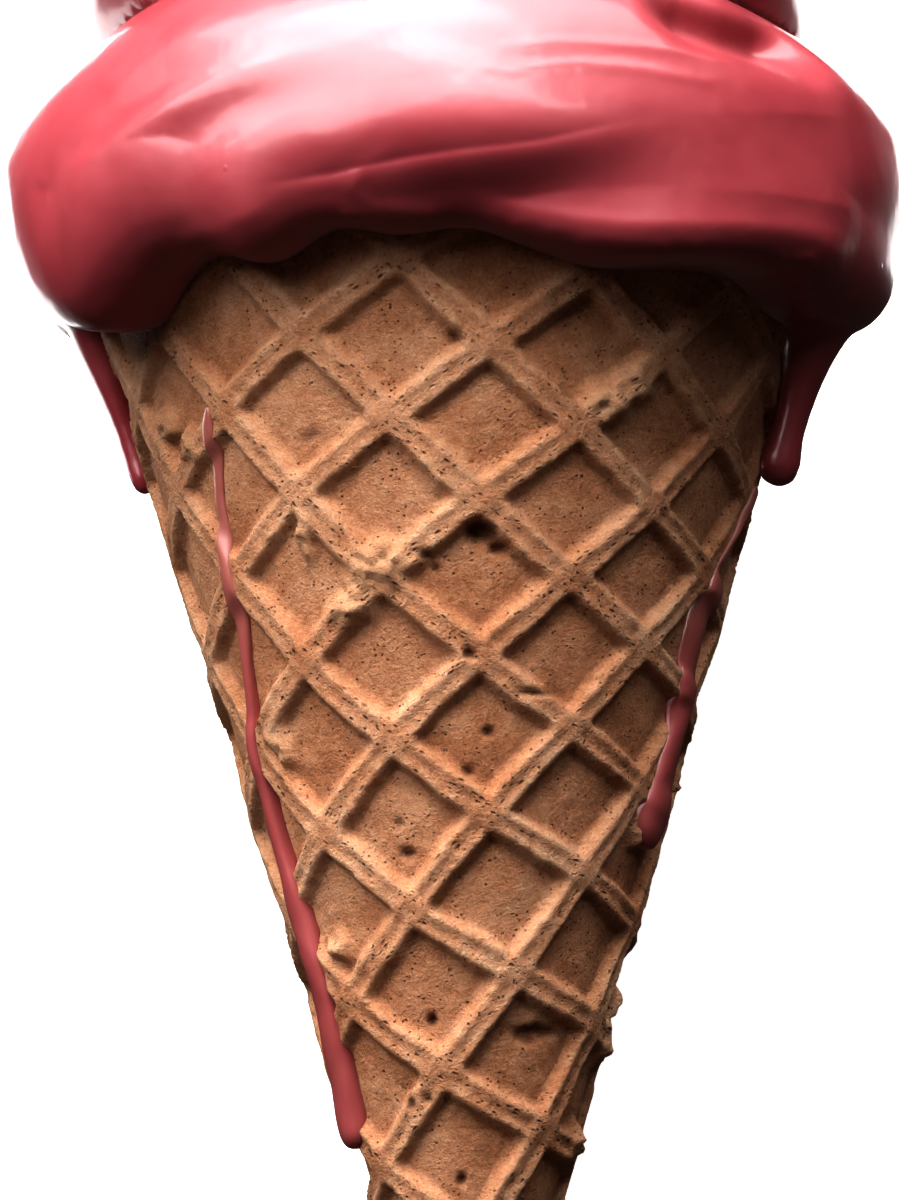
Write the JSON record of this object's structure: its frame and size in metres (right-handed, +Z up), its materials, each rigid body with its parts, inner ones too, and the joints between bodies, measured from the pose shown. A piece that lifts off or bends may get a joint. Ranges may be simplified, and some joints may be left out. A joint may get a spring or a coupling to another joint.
{
  "type": "ice cream cone",
  "caption": "Rolled waffle cone with crossed ridges, holding a tall swirl of soft ice cream that melts over the rim in lobes and drops, lying down with its front up.",
  "frame": {"origin": "on the ground, under the middle of the box round the whole", "axes": "+Z up, +Y the way the swirl points along the ground, with the tip of the cone towards -Y, +X to the right when the swirl points away from the eye"},
  "size_m": [0.0862, 0.1748, 0.0819],
  "materials": {
    "wafer": "dry, grainy baked wafer",
    "melted_ice_cream": "smooth and wet"
  },
  "bodies": {
    "root": {"waffle_cone": "wafer", "ice_cream": "melted_ice_cream", "melt_run_right": "melted_ice_cream", "melt_run_left": "melted_ice_cream"}
  },
  "joints": []
}
